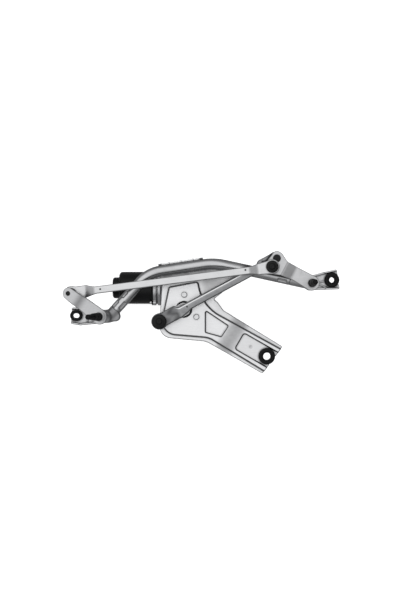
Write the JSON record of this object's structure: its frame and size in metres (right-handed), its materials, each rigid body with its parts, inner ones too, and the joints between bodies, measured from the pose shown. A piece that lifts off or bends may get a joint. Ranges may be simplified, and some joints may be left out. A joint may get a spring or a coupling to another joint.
{
  "type": "windshield wiper linkage with motor",
  "caption": "Front wiper motor on a stamped plate with a bent frame tube, two spindle housings, rubber bushes, cranks and two ball-jointed rods.",
  "frame": {"origin": "centre of the bore in the motor plate's bush, halfway through the plate's arm", "axes": "+Z along that bore, out of the plate towards the wiper arms; +X along the assembly towards the right-hand spindle; +Y towards the frame tube"},
  "size_m": [0.5532, 0.2455, 0.1756],
  "materials": {
    "plate_steel": "zinc-coated sheet, satin",
    "tube_steel": "zinc-coated drawn tube",
    "cast_aluminium": "die cast, fine grain",
    "crank_steel": "zinc-coated stamping",
    "link_steel": "zinc-coated stamping",
    "drive_steel": "dull zinc-coated stamping",
    "shaft_steel": "ground steel",
    "fastener_steel": "bright zinc-plated",
    "black_rubber": "moulded rubber",
    "black_plastic": "moulded, fine texture",
    "sleeve_black": "black phosphated steel",
    "motor_paint": "satin black paint",
    "sintered_bronze": "sintered bronze",
    "copper": "enamelled copper",
    "ferrite": "ferrite",
    "carbon": "carbon",
    "gear_plastic": "natural acetal",
    "core_steel": "laminated steel"
  },
  "bodies": {
    "frame": {"armature_bearings": "sintered_bronze", "boss_gasket": "black_rubber", "brush_holder": "black_plastic", "carbon_brushes": "carbon", "centre_bush_rubber": "black_rubber", "centre_bush_sleeve": "sleeve_black", "connector_socket": "black_plastic", "connector_terminals": "fastener_steel", "cover_screws": "fastener_steel", "frame_tube": "tube_steel", "gear_cover": "black_plastic", "gear_housing": "cast_aluminium", "left_bush_rubber": "black_rubber", "left_bush_sleeve": "sleeve_black", "left_housing": "cast_aluminium", "left_spindle_bearings": "sintered_bronze", "left_thrust_washer": "black_plastic", "motor_bolts": "fastener_steel", "motor_plate": "plate_steel", "motor_yoke": "motor_paint", "output_bearing": "sintered_bronze", "output_seal": "black_rubber", "output_washer": "black_plastic", "right_bush_rubber": "black_rubber", "right_bush_sleeve": "sleeve_black", "right_housing": "cast_aluminium", "right_spindle_bearings": "sintered_bronze", "right_thrust_washer": "black_plastic", "yoke_magnets": "ferrite", "yoke_screws": "fastener_steel"},
    "motor_crank": {"output_shaft": "shaft_steel", "worm_wheel": "gear_plastic", "motor_crank": "crank_steel", "crank_nut": "fastener_steel", "motor_crank_stud": "shaft_steel"},
    "armature": {"armature_shaft": "shaft_steel", "armature_core": "core_steel", "armature_windings": "copper", "commutator": "copper"},
    "drive_rod": {"drive_rod": "drive_steel", "drive_rod_near_socket": "black_plastic", "drive_rod_far_socket": "black_plastic", "drive_rod_far_stud": "shaft_steel"},
    "right_crank": {"right_crank": "crank_steel", "right_spindle": "shaft_steel", "right_spindle_cap": "black_rubber", "right_spindle_clip": "fastener_steel", "right_crank_stud": "shaft_steel", "right_crank_rivet": "sleeve_black"},
    "left_crank": {"left_crank": "crank_steel", "left_spindle": "shaft_steel", "left_spindle_cap": "black_rubber", "left_spindle_clip": "fastener_steel", "left_crank_rivet": "sleeve_black"},
    "link_rod": {"link_rod": "link_steel", "link_rod_right_socket": "black_plastic", "link_rod_left_socket": "black_plastic", "link_rod_left_stud": "shaft_steel"}
  },
  "joints": [
    {"name": "motor_crank_turn", "type": "hinge", "parent": "frame", "child": "motor_crank", "pos_m": [-0.1665, 0.0944, 0], "axis": [0, 0, -1], "range_deg": [0, 180]},
    {"name": "drive_rod_near_ball", "type": "hinge", "parent": "motor_crank", "child": "drive_rod", "pos_m": [-0.21483, 0.07031, 0.039], "axis": [-0.009, -0.0044, 0.9999], "range_deg": [0, 175.39]},
    {"name": "right_spindle_turn", "type": "hinge", "parent": "frame", "child": "right_crank", "pos_m": [0.087, 0.1465, 0.041], "axis": [-0.0419, -0.0279, -0.9987], "range_deg": [0, 80.24]},
    {"name": "left_spindle_turn", "type": "hinge", "parent": "frame", "child": "left_crank", "pos_m": [-0.332, 0.08, 0.052], "axis": [0.342, 0, -0.9397], "range_deg": [0, 87.71]},
    {"name": "link_rod_right_ball", "type": "hinge", "parent": "right_crank", "child": "link_rod", "pos_m": [0.00733, 0.17829, 0.06498], "axis": [-0.0478, 0.0404, 0.998], "range_deg": [0, 85.01]},
    {"name": "armature_spin", "type": "hinge", "parent": "frame", "child": "armature", "pos_m": [-0.26, 0.1378, -0.032], "axis": [-1, 0, 0], "range_deg": [0, 10800]}
  ],
  "couplings": [
    {"joint": "drive_rod_near_ball", "follows": "motor_crank_turn", "ratio": 0.97437},
    {"joint": "right_spindle_turn", "follows": "motor_crank_turn", "ratio": 0.44579},
    {"joint": "left_spindle_turn", "follows": "motor_crank_turn", "ratio": 0.48729},
    {"joint": "link_rod_right_ball", "follows": "motor_crank_turn", "ratio": 0.47229},
    {"joint": "armature_spin", "follows": "motor_crank_turn", "ratio": 60}
  ]
}
